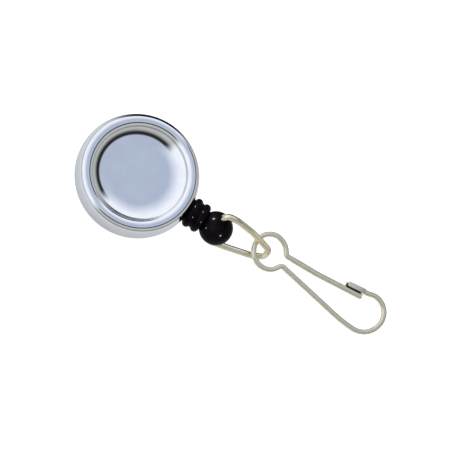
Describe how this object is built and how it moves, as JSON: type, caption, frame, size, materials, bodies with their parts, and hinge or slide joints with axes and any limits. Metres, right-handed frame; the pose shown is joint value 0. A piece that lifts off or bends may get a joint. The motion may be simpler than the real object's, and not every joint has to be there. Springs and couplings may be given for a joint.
{
  "type": "retractable badge reel",
  "caption": "Round chrome retractable reel with a recessed blank face, belt clip, pull-out cord, ribbed nozzle, stop ball, wire bail and wire snap hook.",
  "frame": {"origin": "on the belt clip's outer face, straight below the middle of the round case", "axes": "+Z the way the recessed front faces, +X the way the cord leaves the nozzle, +Y across"},
  "size_m": [0.0913, 0.032, 0.0166],
  "materials": {
    "chrome_case": "mirror chrome plate",
    "clip_steel": "nickel-plated spring steel",
    "rivet_steel": "turned and headed steel",
    "white_nylon": "moulded natural nylon",
    "spring_steel": "blued spring strip",
    "black_cord": "braided nylon cord",
    "black_plastic": "glossy moulded plastic",
    "nickel_wire": "nickel-plated steel wire"
  },
  "bodies": {
    "case": {"front_cover": "chrome_case", "back_cover": "chrome_case", "belt_clip": "clip_steel", "clip_rivets": "rivet_steel", "axle_post": "rivet_steel", "back_washer": "white_nylon", "front_washer": "white_nylon", "power_spring": "spring_steel", "cord_nozzle": "black_plastic", "nozzle_retaining_ring": "clip_steel", "cord_lead": "black_cord"},
    "clip_tongue": {"clip_tongue": "clip_steel"},
    "spool": {"spool": "white_nylon", "spool_cover": "white_nylon", "cord_winding": "black_cord", "cord_anchor_knot": "black_cord"},
    "cord_end": {"cord_end_knot": "black_cord"},
    "ball": {"stop_ball": "black_plastic"},
    "bail": {"bail_link": "nickel_wire"},
    "hook": {"snap_hook": "nickel_wire"},
    "gate": {"hook_gate": "nickel_wire"}
  },
  "joints": [
    {"name": "cord_pull", "type": "slide", "parent": "case", "child": "cord_end", "axis": [1, 0, 0], "range_m": [0, 0.9], "stiffness_N_per_m": 1, "springref_m": -0.8, "deforming": ["cord_lead"]},
    {"name": "spool_spin", "type": "hinge", "parent": "case", "child": "spool", "pos_m": [0, 0, 0.0106], "axis": [0, 0, -1], "range_deg": [0, 5440], "deforming": ["power_spring"]},
    {"name": "ball_swivel", "type": "hinge", "parent": "cord_end", "child": "ball", "pos_m": [0.0241, 0, 0.0106], "axis": [1, 0, 0], "continuous": true},
    {"name": "bail_swing", "type": "hinge", "parent": "ball", "child": "bail", "pos_m": [0.0241, 0, 0.0106], "axis": [0, 0.4509, 0.8926], "range_deg": [-100, 70]},
    {"name": "hook_swing", "type": "hinge", "parent": "bail", "child": "hook", "pos_m": [0.0393, 0.00339, 0.00835], "axis": [0.2036, 0, 0.9791], "range_deg": [-90, 90]},
    {"name": "gate_press", "type": "hinge", "parent": "hook", "child": "gate", "pos_m": [0.04554, 0.00466, 0.00705], "axis": [-0.2036, 0, -0.9791], "range_deg": [0, 12], "stiffness_Nm_per_rad": 0.02, "springref_deg": -11.46},
    {"name": "clip_flex", "type": "hinge", "parent": "case", "child": "clip_tongue", "pos_m": [-0.0095, 0, 0], "axis": [0, 1, 0], "range_deg": [0, 12], "stiffness_Nm_per_rad": 0.6, "springref_deg": -5.73}
  ],
  "couplings": [
    {"joint": "spool_spin", "follows": "cord_pull", "rad_per_m": 105.26}
  ]
}
